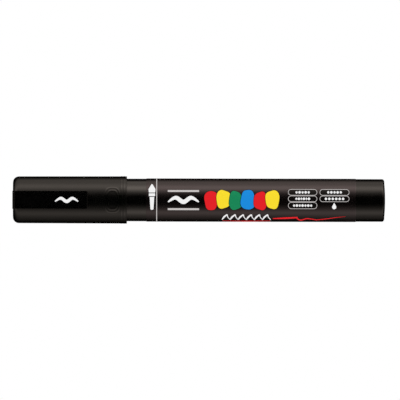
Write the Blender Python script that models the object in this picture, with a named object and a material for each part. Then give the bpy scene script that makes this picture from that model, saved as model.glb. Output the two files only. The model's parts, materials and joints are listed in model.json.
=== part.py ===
"""Capped paint marker with a brush tip and a valve behind it.

The named sizes are in millimetres, and MM turns them into metres when a piece is made.
The pen lies along X. The middle of the tail's flat end is the origin, the cap points to -X,
and the clip lies on the -Y side. An outline's corners are (x, radius), with a third number
where the corner is rounded.
"""

import math

import bmesh
import bpy
from mathutils import Matrix, Vector

MM = 0.001
MERGE_DISTANCE = 1e-6
OUTER_SIDES = 24
INNER_SIDES = 32
FILLET_STEPS = 3

# Gaps that keep neighbouring pieces apart
FACE_GAP = 0.3
SLIDE_GAP = 0.2
FILM_GAP = 0.05

# Barrel and its printed film
BARREL_RADIUS = 7.875
BARREL_WALL = 1.175
BARREL_BORE = BARREL_RADIUS - BARREL_WALL
BARREL_FRONT_X = -98.2
BARREL_FLOOR = 2.0
TAIL_CORNER = 0.9
TAIL_FLAT_RADIUS = 2.5
TAIL_DOME_RADIUS = 6.9
TAIL_DOME_HEIGHT = 0.37
LABEL_RADIUS = 8.0
LABEL_FRONT_X = -88.5
LABEL_REAR_X = -10.85

# Cap
CAP_END_X = -137.85
CAP_MOUTH_X = -95.65
CAP_END_RADIUS = 8.655
CAP_MOUTH_RADIUS = 8.775
CAP_END_CORNER = 2.2
CAP_END_WALL = 1.65
CAP_BORE_FRONT = 7.6
CAP_BORE_REAR = 7.7
CAP_SOCKET_RADIUS = BARREL_RADIUS + SLIDE_GAP

# Clip
CLIP_WIDTH = 6.37
CLIP_THICKNESS = 1.4
CLIP_OUTER_Y = -10.9
CLIP_END_X = -138.0
CLIP_FREE_X = -110.5
CLIP_CORNER = 1.4
CLIP_BOSS_REAR_X = -134.2
CLIP_BEAD_LENGTH = 2.5

# Nose that is pressed into the barrel
COLLAR_RADIUS = 7.45
COLLAR_FRONT_X = -100.7
NOSE_RADIUS = 6.3
NOSE_CONE_X = -103.6
NOZZLE_RADIUS = 4.6
NOZZLE_REAR_X = -113.4
NOZZLE_FRONT_X = -118.0
PLUG_REAR_X = -90.0
TIP_BORE = 3.4
TIP_CHAMBER_RADIUS = 4.4
TIP_CHAMBER_FRONT_X = -106.0
VALVE_CHAMBER_RADIUS = 5.0
VALVE_CHAMBER_FRONT_X = -103.0

# Brush
FERRULE_RADIUS = TIP_BORE - SLIDE_GAP
FERRULE_FRONT_X = -120.8
FERRULE_REAR_X = -104.7
FERRULE_SOCKET = 2.75
FERRULE_SOCKET_X = -112.0
BRISTLE_ROOT_RADIUS = 2.5
BRISTLE_BELLY_RADIUS = 2.9
BRISTLE_BELLY_X = -123.6
BRISTLE_TIP_X = -133.9
CORE_RADIUS = 1.2
CORE_FRONT_X = -124.0

# Valve
VALVE_RADIUS = VALVE_CHAMBER_RADIUS - SLIDE_GAP
SEAT_HOLE = 1.7
SEAT_THICKNESS = 1.4
GASKET_HOLE = 1.5
GASKET_THICKNESS = 0.8
ROD_RADIUS = 0.9
ROD_HEAD_RADIUS = 2.5
ROD_HEAD_THICKNESS = 1.2
ROD_REAR_X = -83.6
CAGE_BORE = 3.3
CAGE_TAIL_RADIUS = 4.3
CAGE_STEP_X = -91.0
CAGE_REAR_X = -84.0
CAGE_END_WALL = 1.2
CAGE_GUIDE_HOLE = 1.25
WINDOW_FRONT_X = -89.5
WINDOW_LENGTH = 3.0
WINDOW_WIDTH = 2.4
SPRING_RADIUS = 1.9
SPRING_WIRE_RADIUS = 0.25
SPRING_TURNS = 8
SPRING_POINTS_PER_TURN = 12

BALL_RADIUS = 3.0

# Places along the pen that follow from the sizes above
FERRULE_FLANGE_X = TIP_CHAMBER_FRONT_X + FACE_GAP
CORE_REAR_X = FERRULE_REAR_X + 0.1
ROD_FRONT_X = CORE_REAR_X + FACE_GAP
SEAT_FRONT_X = VALVE_CHAMBER_FRONT_X + FACE_GAP
SEAT_REAR_X = SEAT_FRONT_X + SEAT_THICKNESS
GASKET_FRONT_X = SEAT_REAR_X + FACE_GAP
GASKET_REAR_X = GASKET_FRONT_X + GASKET_THICKNESS
ROD_HEAD_X = GASKET_REAR_X + FACE_GAP
ROD_HEAD_REAR_X = ROD_HEAD_X + ROD_HEAD_THICKNESS
CAGE_END_X = CAGE_REAR_X - CAGE_END_WALL
CLIP_INNER_Y = CLIP_OUTER_Y + CLIP_THICKNESS
CLIP_MIDDLE_Y = CLIP_OUTER_Y + CLIP_THICKNESS / 2
CLIP_FRONT_X = CLIP_BOSS_REAR_X + FACE_GAP
CLIP_HINGE_X = CLIP_BOSS_REAR_X + FACE_GAP / 2


def clear_scene():
    for obj in list(bpy.data.objects):
        bpy.data.objects.remove(obj)


def make_material(name, colour, roughness, metallic=0.0):
    material = bpy.data.materials.new(name)
    material.use_nodes = True
    material.diffuse_color = (*colour, 1.0)
    shader = material.node_tree.nodes["Principled BSDF"]
    shader.inputs["Base Color"].default_value = (*colour, 1.0)
    shader.inputs["Roughness"].default_value = roughness
    shader.inputs["Metallic"].default_value = metallic
    return material


def make_pivot(name, x, y=0.0):
    """An empty on a joint's axis, which carries the pieces that move with that joint."""
    pivot = bpy.data.objects.new(name, None)
    pivot.location = Vector((x, y, 0.0)) * MM
    bpy.context.collection.objects.link(pivot)
    return pivot


def add_piece(name, data, material, parent=None):
    """Puts a mesh or curve drawn in the pen's own frame into the scene, under its pivot."""
    data.materials.append(material)
    piece = bpy.data.objects.new(name, data)
    bpy.context.collection.objects.link(piece)
    if parent:
        piece.parent = parent
        piece.location = -parent.location
    return piece


def solid_mesh(name, bm):
    """Closes off a bmesh drawn in millimetres: outward faces, metres, smooth round surfaces."""
    bmesh.ops.remove_doubles(bm, verts=bm.verts, dist=MERGE_DISTANCE / MM)
    bmesh.ops.recalc_face_normals(bm, faces=bm.faces)
    bmesh.ops.scale(bm, vec=(MM, MM, MM), verts=bm.verts)
    mesh = bpy.data.meshes.new(name)
    bm.to_mesh(mesh)
    bm.free()
    mesh.shade_smooth()
    mesh.set_sharp_from_angle(angle=math.radians(32))
    return mesh


def rounded(corners):
    """The outline through the corners, with an arc at each corner that has a radius."""
    points = []
    for index, (x, y, *fillet) in enumerate(corners):
        corner = Vector((x, y))
        if not fillet:
            points.append(corner)
            continue
        radius = fillet[0]
        back = (Vector(corners[index - 1][:2]) - corner).normalized()
        ahead = (Vector(corners[(index + 1) % len(corners)][:2]) - corner).normalized()
        half_angle = back.angle(ahead) / 2
        centre = corner + (back + ahead).normalized() * radius / math.sin(half_angle)
        first = corner + back * radius / math.tan(half_angle) - centre
        last = corner + ahead * radius / math.tan(half_angle) - centre
        for step in range(FILLET_STEPS + 1):
            points.append(centre + first.slerp(last, step / FILLET_STEPS) * radius)
    return points


def turned(name, corners, material, parent=None, sides=OUTER_SIDES):
    """A turned body, whose flats lie at the outline's radii, one of them facing straight down.

    An outline that starts and ends on the axis makes a closed end.
    """
    slope = math.tan(math.pi / sides)
    bm = bmesh.new()
    verts = [bm.verts.new((x, radius * slope, radius)) for x, radius in rounded(corners)]
    ends_on_axis = corners[0][1] == 0.0 and corners[-1][1] == 0.0
    followers = verts[1:] if ends_on_axis else verts[1:] + verts[:1]
    edges = [bm.edges.new(pair) for pair in zip(verts, followers)]
    bmesh.ops.spin(
        bm, geom=verts + edges, axis=(1, 0, 0), angle=math.tau, steps=sides, use_merge=True
    )
    return add_piece(name, solid_mesh(name, bm), material, parent)


def extruded(profile, width):
    """A bmesh of the (x, y) profile, spread evenly to both sides of the pen's middle plane."""
    bm = bmesh.new()
    side = bm.faces.new([bm.verts.new((x, y, -width / 2)) for x, y in profile])
    grown = bmesh.ops.extrude_face_region(bm, geom=[side])
    far_side = [item for item in grown["geom"] if isinstance(item, bmesh.types.BMVert)]
    bmesh.ops.translate(bm, vec=(0, 0, width), verts=far_side)
    return bm


def combine(piece, operation, name, bm):
    """Joins a hidden helper solid to a piece, or cuts it out, with a Boolean."""
    helper = bpy.data.objects.new(name, solid_mesh(name, bm))
    bpy.context.collection.objects.link(helper)
    helper.hide_render = True
    helper.display_type = "WIRE"
    boolean = piece.modifiers.new(name, "BOOLEAN")
    boolean.operation = operation
    boolean.object = helper


def make_barrel(material):
    """A one-piece tube, closed at the tail by a floor with a slightly domed outside."""
    dome = []
    dome_steps = 3
    for step in range(1, dome_steps):
        part = step / dome_steps
        radius = TAIL_FLAT_RADIUS + (TAIL_DOME_RADIUS - TAIL_FLAT_RADIUS) * part
        dome.append((-TAIL_DOME_HEIGHT * part**2, radius))
    turned(
        "barrel",
        [
            (-BARREL_FLOOR, 0.0),
            (-BARREL_FLOOR, BARREL_BORE, 1.0),
            (BARREL_FRONT_X, BARREL_BORE),
            (BARREL_FRONT_X, BARREL_RADIUS, 0.2),
            (-TAIL_DOME_HEIGHT, BARREL_RADIUS, TAIL_CORNER),
            *reversed(dome),
            (0.0, TAIL_FLAT_RADIUS),
            (0.0, 0.0),
        ],
        material,
    )


def make_label_sleeve(material):
    inner_radius = BARREL_RADIUS + FILM_GAP
    turned(
        "label_sleeve",
        [
            (LABEL_FRONT_X, inner_radius),
            (LABEL_FRONT_X, LABEL_RADIUS),
            (LABEL_REAR_X, LABEL_RADIUS),
            (LABEL_REAR_X, inner_radius),
        ],
        material,
    )


def make_front_section(material):
    """The nose: a plug in the barrel, a collar under the cap, a cone and a nozzle, bored through."""
    collar_rear_x = BARREL_FRONT_X - FACE_GAP
    plug_radius = BARREL_BORE - SLIDE_GAP
    turned(
        "front_section",
        [
            (NOZZLE_FRONT_X, TIP_BORE),
            (NOZZLE_FRONT_X, NOZZLE_RADIUS, 0.6),
            (NOZZLE_REAR_X, NOZZLE_RADIUS),
            (NOSE_CONE_X, NOSE_RADIUS),
            (COLLAR_FRONT_X, NOSE_RADIUS),
            (COLLAR_FRONT_X, COLLAR_RADIUS, 0.4),
            (collar_rear_x, COLLAR_RADIUS, 0.4),
            (collar_rear_x, plug_radius),
            (PLUG_REAR_X, plug_radius, 0.4),
            (PLUG_REAR_X, VALVE_CHAMBER_RADIUS),
            (VALVE_CHAMBER_FRONT_X, VALVE_CHAMBER_RADIUS),
            (VALVE_CHAMBER_FRONT_X, TIP_CHAMBER_RADIUS),
            (TIP_CHAMBER_FRONT_X, TIP_CHAMBER_RADIUS),
            (TIP_CHAMBER_FRONT_X, TIP_BORE),
        ],
        material,
    )


def clip_boss():
    """The block on the cap's closed end that carries the clip. It runs down into the end wall."""
    wall_y = -(CAP_BORE_FRONT + 0.4)
    end_wall_y = -(CAP_END_RADIUS - CAP_END_CORNER + 0.15)
    end_wall_x = CAP_END_X + CAP_END_WALL - 0.3
    profile = rounded(
        [
            (CLIP_END_X, CLIP_OUTER_Y, CLIP_CORNER),
            (CLIP_BOSS_REAR_X, CLIP_OUTER_Y),
            (CLIP_BOSS_REAR_X, wall_y),
            (end_wall_x, wall_y),
            (end_wall_x, end_wall_y),
            (CLIP_END_X, end_wall_y),
        ]
    )
    return extruded(profile, CLIP_WIDTH)


def make_cap_shell(material, parent):
    """The outer cap: a drafted cup with a wider socket at its mouth, which slips over the barrel."""
    socket_end_x = BARREL_FRONT_X - FACE_GAP
    inner_end_x = CAP_END_X + CAP_END_WALL
    shell = turned(
        "cap_shell",
        [
            (inner_end_x, 0.0),
            (inner_end_x, CAP_BORE_FRONT, 0.8),
            (socket_end_x, CAP_BORE_REAR),
            (socket_end_x, CAP_SOCKET_RADIUS),
            (CAP_MOUTH_X, CAP_SOCKET_RADIUS),
            (CAP_MOUTH_X, CAP_MOUTH_RADIUS),
            (CAP_END_X, CAP_END_RADIUS, CAP_END_CORNER),
            (CAP_END_X, 0.0),
        ],
        material,
        parent,
    )
    combine(shell, "UNION", "clip_boss", clip_boss())


def make_inner_cap(material, parent):
    """The sealing cup over the nozzle, held in the cap's closed end by its flange."""
    flange_front_x = CAP_END_X + CAP_END_WALL + FACE_GAP
    flange_rear_x = flange_front_x + 1.0
    mouth_x = NOZZLE_REAR_X - 0.5
    bore = NOZZLE_RADIUS + 0.25
    outer_radius = bore + 0.75
    flange_radius = CAP_BORE_FRONT - 0.4
    turned(
        "inner_cap",
        [
            (flange_rear_x, 0.0),
            (flange_rear_x, bore),
            (mouth_x, bore),
            (mouth_x, outer_radius, 0.3),
            (flange_rear_x, outer_radius),
            (flange_rear_x, flange_radius),
            (flange_front_x, flange_radius),
            (flange_front_x, 0.0),
        ],
        material,
        parent,
    )


def make_cap_clip(material, parent):
    """The clip's arm: it stands off the cap from its boss, with a bead under its free end."""
    bead_front_x = CLIP_FREE_X - CLIP_BEAD_LENGTH
    bead_slope = 1.0
    bead_y = -(CAP_MOUTH_RADIUS + FACE_GAP)
    profile = rounded(
        [
            (CLIP_FRONT_X, CLIP_OUTER_Y),
            (CLIP_FREE_X, CLIP_OUTER_Y, 0.4),
            (CLIP_FREE_X, bead_y, 0.4),
            (bead_front_x, bead_y),
            (bead_front_x - bead_slope, CLIP_INNER_Y),
            (CLIP_FRONT_X, CLIP_INNER_Y),
        ]
    )
    mesh = solid_mesh("cap_clip", extruded(profile, CLIP_WIDTH))
    clip = add_piece("cap_clip", mesh, material, parent)
    bevel = clip.modifiers.new("soft_edges", "BEVEL")
    bevel.width = 0.25 * MM
    bevel.segments = 2
    bevel.limit_method = "ANGLE"
    bevel.angle_limit = math.radians(50)


def make_brush_ferrule(material, parent):
    """The holder round the bristles' roots. Its flange stops against the shoulder in the nose."""
    core_hole = CORE_RADIUS + 0.25
    flange_radius = TIP_CHAMBER_RADIUS - FACE_GAP
    turned(
        "brush_ferrule",
        [
            (FERRULE_FRONT_X, FERRULE_SOCKET),
            (FERRULE_FRONT_X, FERRULE_RADIUS, 0.15),
            (FERRULE_FLANGE_X, FERRULE_RADIUS),
            (FERRULE_FLANGE_X, flange_radius),
            (FERRULE_REAR_X, flange_radius),
            (FERRULE_REAR_X, core_hole),
            (FERRULE_SOCKET_X, core_hole),
            (FERRULE_SOCKET_X, FERRULE_SOCKET),
        ],
        material,
        parent,
        INNER_SIDES,
    )


def make_brush_bristles(material, parent):
    """The brush's outer shape: straight in the ferrule, full at the belly, fine at the tip."""
    core_pocket = CORE_RADIUS + 0.15
    pocket_end_x = CORE_FRONT_X - FACE_GAP
    root_x = FERRULE_SOCKET_X - FACE_GAP
    taper = []
    taper_steps = 8
    for step in range(1, taper_steps):
        part = step / taper_steps
        x = BRISTLE_BELLY_X + (BRISTLE_TIP_X - BRISTLE_BELLY_X) * part
        taper.append((x, BRISTLE_BELLY_RADIUS * (1 - part**2) ** 1.1))
    turned(
        "brush_bristles",
        [
            (pocket_end_x, 0.0),
            (pocket_end_x, core_pocket),
            (root_x, core_pocket),
            (root_x, BRISTLE_ROOT_RADIUS),
            (FERRULE_FRONT_X, BRISTLE_ROOT_RADIUS),
            (BRISTLE_BELLY_X, BRISTLE_BELLY_RADIUS, 3.0),
            *taper,
            (BRISTLE_TIP_X, 0.0),
        ],
        material,
        parent,
        INNER_SIDES,
    )


def make_feed_core(material, parent):
    """The fibre rod that leads paint from the valve into the bristles."""
    turned(
        "feed_core",
        [
            (CORE_FRONT_X, 0.0),
            (CORE_FRONT_X + 1.0, CORE_RADIUS),
            (CORE_REAR_X, CORE_RADIUS),
            (CORE_REAR_X, 0.0),
        ],
        material,
        parent,
        INNER_SIDES,
    )


def make_valve_seat(material):
    """A disc with the paint hole, and a low lip round the hole that dents the gasket."""
    lip_height = 0.15
    lip_radius = SEAT_HOLE + 0.6
    turned(
        "valve_seat",
        [
            (SEAT_FRONT_X, SEAT_HOLE),
            (SEAT_FRONT_X, VALVE_RADIUS),
            (SEAT_REAR_X, VALVE_RADIUS),
            (SEAT_REAR_X, lip_radius),
            (SEAT_REAR_X + lip_height, lip_radius - lip_height),
            (SEAT_REAR_X + lip_height, SEAT_HOLE),
        ],
        material,
        sides=INNER_SIDES,
    )


def make_valve_gasket(material):
    turned(
        "valve_gasket",
        [
            (GASKET_FRONT_X, GASKET_HOLE),
            (GASKET_FRONT_X, VALVE_RADIUS),
            (GASKET_REAR_X, VALVE_RADIUS),
            (GASKET_REAR_X, GASKET_HOLE),
        ],
        material,
        sides=INNER_SIDES,
    )


def make_valve_rod(material, parent):
    """The stem that the feed core pushes back, with the head that closes on the gasket."""
    turned(
        "valve_rod",
        [
            (ROD_FRONT_X, 0.0),
            (ROD_FRONT_X, ROD_RADIUS),
            (ROD_HEAD_X, ROD_RADIUS),
            (ROD_HEAD_X, ROD_HEAD_RADIUS, 0.2),
            (ROD_HEAD_REAR_X, ROD_HEAD_RADIUS, 0.2),
            (ROD_HEAD_REAR_X, ROD_RADIUS),
            (ROD_REAR_X, ROD_RADIUS, 0.3),
            (ROD_REAR_X, 0.0),
        ],
        material,
        parent,
        INNER_SIDES,
    )


def window_block(width_y, width_z):
    """A block right across the cage, which opens a window on each side."""
    middle = Matrix.Translation((WINDOW_FRONT_X + WINDOW_LENGTH / 2, 0, 0))
    size = Matrix.Diagonal((WINDOW_LENGTH, width_y, width_z, 1.0))
    bm = bmesh.new()
    bmesh.ops.create_cube(bm, size=1.0, matrix=middle @ size)
    return bm


def make_valve_cage(material):
    """The holder behind the nose, with four windows that let paint reach the valve."""
    cage_front_x = GASKET_REAR_X + FACE_GAP
    cage = turned(
        "valve_cage",
        [
            (cage_front_x, CAGE_BORE),
            (cage_front_x, VALVE_RADIUS),
            (CAGE_STEP_X, VALVE_RADIUS),
            (CAGE_STEP_X, CAGE_TAIL_RADIUS),
            (CAGE_REAR_X, CAGE_TAIL_RADIUS, 0.4),
            (CAGE_REAR_X, CAGE_GUIDE_HOLE),
            (CAGE_END_X, CAGE_GUIDE_HOLE),
            (CAGE_END_X, CAGE_BORE),
        ],
        material,
        sides=INNER_SIDES,
    )
    span = 3 * CAGE_TAIL_RADIUS
    combine(cage, "DIFFERENCE", "side_windows", window_block(span, WINDOW_WIDTH))
    combine(cage, "DIFFERENCE", "upper_windows", window_block(WINDOW_WIDTH, span))


def spring_points(front_x, rear_x):
    """A helix whose first and last turns lie almost flat, as on a spring with closed ends."""
    closed_pitch = 3 * SPRING_WIRE_RADIUS
    open_turns = SPRING_TURNS - 2
    open_pitch = (rear_x - front_x - 2 * closed_pitch) / open_turns
    points = []
    for step in range(SPRING_TURNS * SPRING_POINTS_PER_TURN + 1):
        turn = step / SPRING_POINTS_PER_TURN
        open_part = min(max(turn - 1, 0), open_turns)
        x = front_x + closed_pitch * (turn - open_part) + open_pitch * open_part
        angle = math.tau * turn
        points.append((x, SPRING_RADIUS * math.cos(angle), SPRING_RADIUS * math.sin(angle)))
    return points


def make_valve_spring(material):
    """The spring between the rod's head and the cage's end wall."""
    end_clearance = SPRING_WIRE_RADIUS + FACE_GAP
    points = spring_points(ROD_HEAD_REAR_X + end_clearance, CAGE_END_X - end_clearance)
    curve = bpy.data.curves.new("valve_spring", "CURVE")
    curve.dimensions = "3D"
    curve.bevel_depth = SPRING_WIRE_RADIUS * MM
    curve.bevel_resolution = 1
    curve.use_fill_caps = True
    spline = curve.splines.new("POLY")
    spline.points.add(len(points) - 1)
    for target, point in zip(spline.points, points):
        target.co = (*(Vector(point) * MM), 1.0)
    add_piece("valve_spring", curve, material)


def make_mixing_ball(material):
    """The loose ball, at rest on the bottom of the bore against the tail's floor."""
    centre = (
        -(BARREL_FLOOR + BALL_RADIUS + FACE_GAP),
        0.0,
        -(BARREL_BORE - BALL_RADIUS - FACE_GAP),
    )
    bm = bmesh.new()
    bmesh.ops.create_uvsphere(bm, u_segments=24, v_segments=14, radius=BALL_RADIUS)
    ball = add_piece("mixing_ball", solid_mesh("mixing_ball", bm), material)
    ball.location = Vector(centre) * MM


def main():
    clear_scene()

    body_plastic = make_material("barrel_plastic", (0.010, 0.009, 0.008), 0.30)
    film = make_material("label_film", (0.014, 0.011, 0.011), 0.25)
    nose_plastic = make_material("section_plastic", (0.012, 0.012, 0.013), 0.42)
    cap_plastic = make_material("cap_plastic", (0.013, 0.012, 0.010), 0.38)
    clip_plastic = make_material("clip_plastic", (0.008, 0.008, 0.008), 0.40)
    seal_plastic = make_material("inner_cap_plastic", (0.72, 0.72, 0.70), 0.45)
    holder_plastic = make_material("ferrule_plastic", (0.06, 0.06, 0.06), 0.40)
    bristle_fibre = make_material("bristle_fibre", (0.82, 0.80, 0.74), 0.55)
    core_fibre = make_material("core_fibre", (0.75, 0.74, 0.70), 0.90)
    seat_plastic = make_material("seat_plastic", (0.62, 0.63, 0.62), 0.45)
    rod_plastic = make_material("rod_plastic", (0.80, 0.80, 0.78), 0.40)
    cage_plastic = make_material("cage_plastic", (0.55, 0.56, 0.56), 0.45)
    gasket_rubber = make_material("gasket_rubber", (0.03, 0.03, 0.03), 0.75)
    spring_steel = make_material("spring_steel", (0.55, 0.55, 0.56), 0.25, metallic=1.0)
    ball_steel = make_material("ball_steel", (0.62, 0.62, 0.63), 0.12, metallic=1.0)

    make_barrel(body_plastic)
    make_label_sleeve(film)
    make_front_section(nose_plastic)
    make_valve_seat(seat_plastic)
    make_valve_gasket(gasket_rubber)
    make_valve_cage(cage_plastic)
    make_valve_spring(spring_steel)
    make_mixing_ball(ball_steel)

    valve_slide = make_pivot("valve_slide", ROD_HEAD_X)
    make_valve_rod(rod_plastic, valve_slide)

    tip_slide = make_pivot("tip_slide", NOZZLE_FRONT_X)
    make_brush_ferrule(holder_plastic, tip_slide)
    make_brush_bristles(bristle_fibre, tip_slide)
    make_feed_core(core_fibre, tip_slide)

    cap_slide = make_pivot("cap_slide", CAP_MOUTH_X)
    make_cap_shell(cap_plastic, cap_slide)
    make_inner_cap(seal_plastic, cap_slide)

    clip_hinge = make_pivot("clip_hinge", CLIP_HINGE_X, CLIP_MIDDLE_Y)
    make_cap_clip(clip_plastic, clip_hinge)


main()
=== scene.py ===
"""Looks of the capped brush pen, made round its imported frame.

Sizes are in millimetres in the frame's own axes: the pen lies along X with its tail at 0 and its
cap towards -X, and the clip and the printed face look towards -Y. MM turns them into metres. An
outline's corners are (x, radius) or (x, y), with a third number where the corner is rounded.
"""

import json
import math
import random

import bmesh
import bpy
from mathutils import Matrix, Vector


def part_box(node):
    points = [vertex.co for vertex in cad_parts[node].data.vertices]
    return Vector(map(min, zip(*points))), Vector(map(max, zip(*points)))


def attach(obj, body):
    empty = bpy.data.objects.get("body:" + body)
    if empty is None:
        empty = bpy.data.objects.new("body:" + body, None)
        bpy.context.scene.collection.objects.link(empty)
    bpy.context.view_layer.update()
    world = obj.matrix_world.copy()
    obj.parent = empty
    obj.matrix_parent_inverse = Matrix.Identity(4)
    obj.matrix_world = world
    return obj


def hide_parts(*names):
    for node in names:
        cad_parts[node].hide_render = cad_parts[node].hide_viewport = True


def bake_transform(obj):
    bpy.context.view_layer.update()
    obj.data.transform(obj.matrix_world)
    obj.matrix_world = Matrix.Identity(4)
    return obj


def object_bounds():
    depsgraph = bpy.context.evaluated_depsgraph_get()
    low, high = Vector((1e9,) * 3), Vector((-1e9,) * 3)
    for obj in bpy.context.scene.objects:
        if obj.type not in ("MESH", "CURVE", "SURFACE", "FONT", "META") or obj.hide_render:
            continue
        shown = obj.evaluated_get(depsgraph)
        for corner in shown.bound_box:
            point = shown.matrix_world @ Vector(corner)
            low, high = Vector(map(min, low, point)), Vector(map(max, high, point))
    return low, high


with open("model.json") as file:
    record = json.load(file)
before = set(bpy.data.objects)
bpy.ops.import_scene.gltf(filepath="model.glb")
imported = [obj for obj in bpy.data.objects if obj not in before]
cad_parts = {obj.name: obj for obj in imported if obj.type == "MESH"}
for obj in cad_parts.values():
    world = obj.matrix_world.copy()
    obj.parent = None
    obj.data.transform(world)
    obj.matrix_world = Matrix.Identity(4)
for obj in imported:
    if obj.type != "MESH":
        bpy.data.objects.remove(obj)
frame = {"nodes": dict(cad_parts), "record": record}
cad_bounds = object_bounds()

MM = 0.001
SIDES = 160
FILLET_STEPS = 6


# ---------------------------------------------------------------- places and sizes


def box_mm(node):
    """The low and high corners of a CAD node's box."""
    low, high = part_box(node)
    return low / MM, high / MM


cap_low, cap_high = box_mm("cap_shell")
clip_low, clip_high = box_mm("cap_clip")
inner_low, inner_high = box_mm("inner_cap")
barrel_low, barrel_high = box_mm("barrel")
label_low, label_high = box_mm("label_sleeve")
nose_low, nose_high = box_mm("front_section")
ferrule_low, ferrule_high = box_mm("brush_ferrule")
brush_low, brush_high = box_mm("brush_bristles")
spring_low, spring_high = box_mm("valve_spring")
mounts = {mount["name"]: mount for mount in frame["record"]["mounts"]}

# Gap left between two pieces that meet
FACE_GAP = 0.3

# Cap
CAP_END_X = mounts["cap_end"]["pos_m"][0] / MM
CAP_MOUTH_X = cap_high.x
CAP_MOUTH_RADIUS = cap_high.z
CAP_SKIN_RADIUS = CAP_MOUTH_RADIUS - 0.03
CAP_END_RADIUS = CAP_MOUTH_RADIUS - 0.12
CAP_END_CORNER = 2.2
CAP_END_WALL = 1.65
CAP_BORE_FRONT = 7.6
CAP_BORE_REAR = 7.7
CAP_SOCKET_RADIUS = 8.075
CAP_SIDES = 360

# The two beads round the cap's mouth, and the two ovals on its front
BEAD_HEIGHT = 0.06
BEAD_HALF_WIDTH = 0.42
BEAD_HALF_CREST = 0.1
BEAD_OFFSETS = (0.95, 2.0)
OVAL_X = CAP_MOUTH_X - 5.35
OVAL_HALF_LENGTH = 2.7
OVAL_HALF_HEIGHT = 4.85
OVAL_INNER_REACH = 0.74
OVAL_SQUARENESS = 3.0
OVAL_RIDGE = 0.05
OVAL_RIDGE_WIDTH = 0.08

# Clip, a little longer and wider than its plain solid in the frame
CLIP_OUTER_Y = cap_low.y
CLIP_END_X = cap_low.x
CLIP_FREE_X = clip_high.x + 0.4
CLIP_WIDTH = clip_high.z - clip_low.z + 0.3
CLIP_THICKNESS = 1.4
CLIP_EDGE = 0.05
CLIP_TIP_CORNER = 0.45
CLIP_BOSS_REAR_X = clip_low.x - FACE_GAP

# Barrel, its film, and the nose in its front end
BARREL_RADIUS = barrel_high.z
BARREL_BORE = 6.7
BARREL_FLOOR = 2.0
TAIL_CORNER = 0.9
TAIL_DOME_RADIUS = 6.9
TAIL_DOME_HEIGHT = 0.37
LABEL_RADIUS = label_high.z
SEAM_OVERLAP = 1.6
NOSE_RADIUS = 6.3
NOZZLE_RADIUS = 4.6
TIP_BORE = 3.4
TIP_CHAMBER_RADIUS = 4.4
VALVE_CHAMBER_RADIUS = 5.0

# Brush
FERRULE_RADIUS = 3.2
FERRULE_SOCKET = 2.75
FERRULE_BORE = 1.45
BRISTLE_ROOT_X = ferrule_low.x + 3.0
BRISTLE_ROOT_RADIUS = 2.5
BRISTLE_POINT_RADIUS = 0.02

# Printing: each layer of ink lies on the one before it
INK_DEPTH = 0.02
INK_LIFT = 0.006
LAYER_STEP = 0.004
TAG_LINE = 0.18
DAB_EDGE = 0.18
WRAP_STEP = math.radians(1.5)
WRAP_REACH = math.radians(80.0)
STRIP_MERGE = 0.004
WHITE, PALE, RED, BLUE, GREEN, YELLOW, BLACK = range(7)


# ---------------------------------------------------------------- materials


class Nodes:
    """A short way to build a node tree: add a node, set its inputs, and wire them."""

    def __init__(self, tree):
        self.tree = tree

    def add(self, kind, **settings):
        node = self.tree.nodes.new(kind)
        for name, value in settings.items():
            setattr(node, name, value)
        return node

    def link(self, source, target):
        self.tree.links.new(source, target)

    def math(self, operation, first, second=0.0, third=0.0):
        node = self.add("ShaderNodeMath", operation=operation)
        for socket, value in zip(node.inputs, (first, second, third)):
            if isinstance(value, (int, float)):
                socket.default_value = value
            else:
                self.link(value, socket)
        return node.outputs[0]

    def smooth(self, value, start, end):
        """0 below start, 1 above end, smooth between."""
        node = self.add("ShaderNodeMapRange", interpolation_type="SMOOTHSTEP")
        self.link(value, node.inputs["Value"])
        node.inputs["From Min"].default_value = start
        node.inputs["From Max"].default_value = end
        return node.outputs["Result"]

    def noise(self, scale, detail=3.0, stretch=(1.0, 1.0, 1.0)):
        """Noise in the object's own space, in which one unit is a metre."""
        place = self.add("ShaderNodeTexCoord")
        mapping = self.add("ShaderNodeMapping")
        mapping.inputs["Scale"].default_value = stretch
        self.link(place.outputs["Object"], mapping.inputs["Vector"])
        node = self.add("ShaderNodeTexNoise")
        node.inputs["Scale"].default_value = scale
        node.inputs["Detail"].default_value = detail
        self.link(mapping.outputs["Vector"], node.inputs["Vector"])
        return node.outputs["Fac"]

    def spread(self, value, low, high):
        """Maps the middle of a noise's range to low..high."""
        node = self.add("ShaderNodeMapRange")
        self.link(value, node.inputs["Value"])
        node.inputs["From Min"].default_value = 0.3
        node.inputs["From Max"].default_value = 0.7
        node.inputs["To Min"].default_value = low
        node.inputs["To Max"].default_value = high
        return node.outputs["Result"]

    def tint(self, value, dark, light):
        node = self.add("ShaderNodeMix", data_type="RGBA")
        self.link(value, node.inputs["Factor"])
        node.inputs["A"].default_value = (*dark, 1.0)
        node.inputs["B"].default_value = (*light, 1.0)
        return node.outputs["Result"]

    def bump(self, height, strength, distance):
        node = self.add("ShaderNodeBump")
        node.inputs["Strength"].default_value = strength
        node.inputs["Distance"].default_value = distance
        self.link(height, node.inputs["Height"])
        return node.outputs["Normal"]


def new_material(name, preview):
    """A material with a Principled shader, and the helper that adds nodes to it."""
    material = bpy.data.materials.new(name)
    material.use_nodes = True
    material.diffuse_color = (*preview, 1.0)
    return material, material.node_tree.nodes["Principled BSDF"], Nodes(material.node_tree)


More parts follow.
